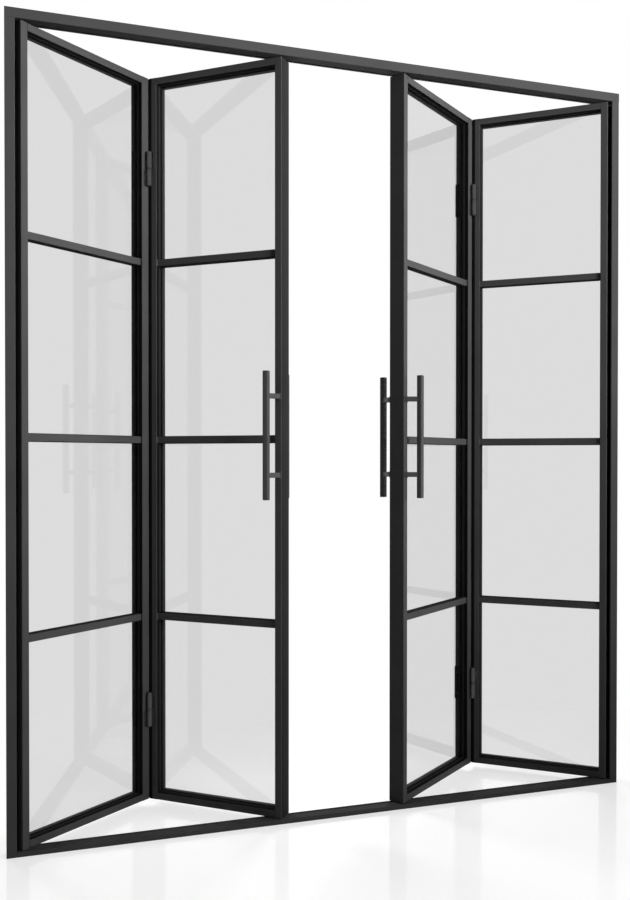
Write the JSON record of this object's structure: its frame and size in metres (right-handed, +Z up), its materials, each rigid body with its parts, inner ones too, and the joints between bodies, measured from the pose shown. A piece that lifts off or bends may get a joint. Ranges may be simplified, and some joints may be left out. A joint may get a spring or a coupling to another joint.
{
  "type": "glazed folding door",
  "caption": "Slim black metal folding door in its frame: glazed leaves hinged in pairs, crossed by narrow glazing bars, with square pull handles; modelled part folded.",
  "frame": {"origin": "middle of the sill's underside, halfway through the depth of the fixed frame", "axes": "+X along the width, to the right for someone who faces the door with the hinge valleys towards them; +Y horizontal, away from that person, to the side that the leaves fold to; +Z up"},
  "size_m": [1.742, 0.3195, 2.1],
  "materials": {
    "frame_metal": "satin black powder coat on the fixed frame",
    "leaf_metal": "satin black powder coat on the leaves",
    "hardware": "satin black handles, hinges and pins",
    "clear_glass": "clear float glass, faintly grey"
  },
  "bodies": {
    "root": {"frame_head": "frame_metal", "frame_sill": "frame_metal", "frame_jamb_left": "frame_metal", "frame_jamb_right": "frame_metal", "leaf_1_jamb_stile": "leaf_metal", "leaf_1_fold_stile": "leaf_metal", "leaf_1_top_rail": "leaf_metal", "leaf_1_bottom_rail": "leaf_metal", "leaf_1_bar_low": "leaf_metal", "leaf_1_bar_middle": "leaf_metal", "leaf_1_bar_high": "leaf_metal", "leaf_1_glass": "clear_glass", "leaf_2_fold_stile": "leaf_metal", "leaf_2_meeting_stile": "leaf_metal", "leaf_2_top_rail": "leaf_metal", "leaf_2_bottom_rail": "leaf_metal", "leaf_2_bar_low": "leaf_metal", "leaf_2_bar_middle": "leaf_metal", "leaf_2_bar_high": "leaf_metal", "leaf_2_glass": "clear_glass", "leaf_3_meeting_stile": "leaf_metal", "leaf_3_fold_stile": "leaf_metal", "leaf_3_top_rail": "leaf_metal", "leaf_3_bottom_rail": "leaf_metal", "leaf_3_bar_low": "leaf_metal", "leaf_3_bar_middle": "leaf_metal", "leaf_3_bar_high": "leaf_metal", "leaf_3_glass": "clear_glass", "leaf_4_fold_stile": "leaf_metal", "leaf_4_jamb_stile": "leaf_metal", "leaf_4_top_rail": "leaf_metal", "leaf_4_bottom_rail": "leaf_metal", "leaf_4_bar_low": "leaf_metal", "leaf_4_bar_middle": "leaf_metal", "leaf_4_bar_high": "leaf_metal", "leaf_4_glass": "clear_glass", "leaf_2_handle_front": "hardware", "leaf_2_handle_back": "hardware", "leaf_3_handle_front": "hardware", "leaf_3_handle_back": "hardware", "hinge_left_lower_leaf_1": "hardware", "hinge_left_lower_leaf_2": "hardware", "hinge_left_upper_leaf_1": "hardware", "hinge_left_upper_leaf_2": "hardware", "hinge_right_lower_leaf_3": "hardware", "hinge_right_lower_leaf_4": "hardware", "hinge_right_upper_leaf_3": "hardware", "hinge_right_upper_leaf_4": "hardware", "pivot_left_top": "hardware", "pivot_left_bottom": "hardware", "guide_left_top": "hardware", "guide_left_bottom": "hardware", "guide_right_top": "hardware", "guide_right_bottom": "hardware", "pivot_right_top": "hardware", "pivot_right_bottom": "hardware"}
  },
  "joints": []
}
